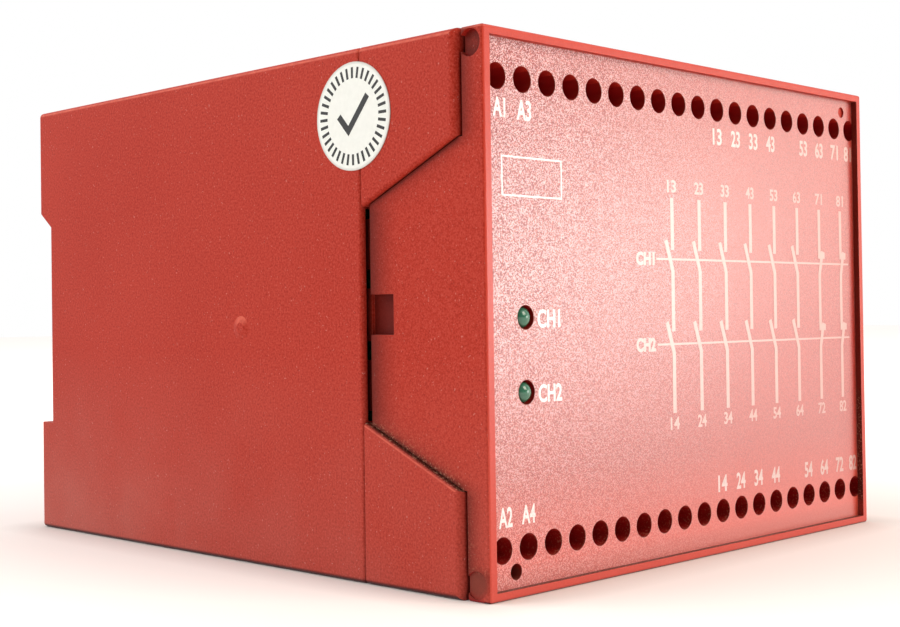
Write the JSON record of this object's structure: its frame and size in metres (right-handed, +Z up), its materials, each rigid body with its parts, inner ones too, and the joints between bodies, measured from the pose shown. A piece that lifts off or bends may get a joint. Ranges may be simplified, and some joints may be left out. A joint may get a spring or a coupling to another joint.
{
  "type": "safety relay",
  "caption": "Boxy moulded control relay for rail mounting, with recessed front field, two rows of screw terminals, channel lamps and sprung rail latches.",
  "frame": {"origin": "middle of the housing's bottom face, under the centre of its bounding box", "axes": "+X to the right seen from the front, the front face looks along -Y, +Z up from the bottom face with the rail channel at the rear (+Y)"},
  "size_m": [0.0993, 0.11, 0.075],
  "materials": {
    "red_moulding": "satin moulded red, fine spark texture",
    "cover_moulding": "moulded red, fine grained front field",
    "plated_screw": "zinc plated, slotted head",
    "plated_cage": "zinc plated, bright",
    "tinned_contact": "tinned brass",
    "circuit_board": "green solder mask",
    "green_lens": "tinted diffused epoxy",
    "relay_can": "moulded sealed can",
    "capacitor_can": "sleeved aluminium can",
    "diode_body": "epoxy body on tinned wire",
    "link_strip": "black pin strip",
    "latch_plastic": "black glass-filled",
    "spring_steel": "spring steel",
    "label_film": "white vinyl film"
  },
  "bodies": {
    "root": {"front_cover": "cover_moulding", "latch_spring_left": "spring_steel", "latch_spring_right": "spring_steel", "led_board": "circuit_board", "led_channel_1": "green_lens", "led_channel_2": "green_lens", "lower_board_link": "link_strip", "lower_relay_board": "circuit_board", "lower_terminal_cages": "plated_cage", "lower_terminal_housing": "red_moulding", "lower_terminal_pins": "tinned_contact", "lower_terminal_screws": "plated_screw", "output_relay_1": "relay_can", "output_relay_2": "relay_can", "output_relay_3": "relay_can", "output_relay_4": "relay_can", "rear_housing": "red_moulding", "seal_label": "label_film", "supply_capacitors": "capacitor_can", "suppressor_diodes": "diode_body", "terminal_board": "circuit_board", "upper_board_link": "link_strip", "upper_relay_board": "circuit_board", "upper_terminal_cages": "plated_cage", "upper_terminal_housing": "red_moulding", "upper_terminal_pins": "tinned_contact", "upper_terminal_screws": "plated_screw"},
    "left_latch": {"rail_latch_left": "latch_plastic"},
    "right_latch": {"rail_latch_right": "latch_plastic"}
  },
  "joints": [
    {"name": "left_latch_slide", "type": "slide", "parent": "root", "child": "left_latch", "axis": [0, 0, -1], "range_m": [0, 0.004], "stiffness_N_per_m": 500, "springref_m": -0.002, "deforming": ["latch_spring_left"]},
    {"name": "right_latch_slide", "type": "slide", "parent": "root", "child": "right_latch", "axis": [0, 0, -1], "range_m": [0, 0.004], "stiffness_N_per_m": 500, "springref_m": -0.002, "deforming": ["latch_spring_right"]}
  ]
}
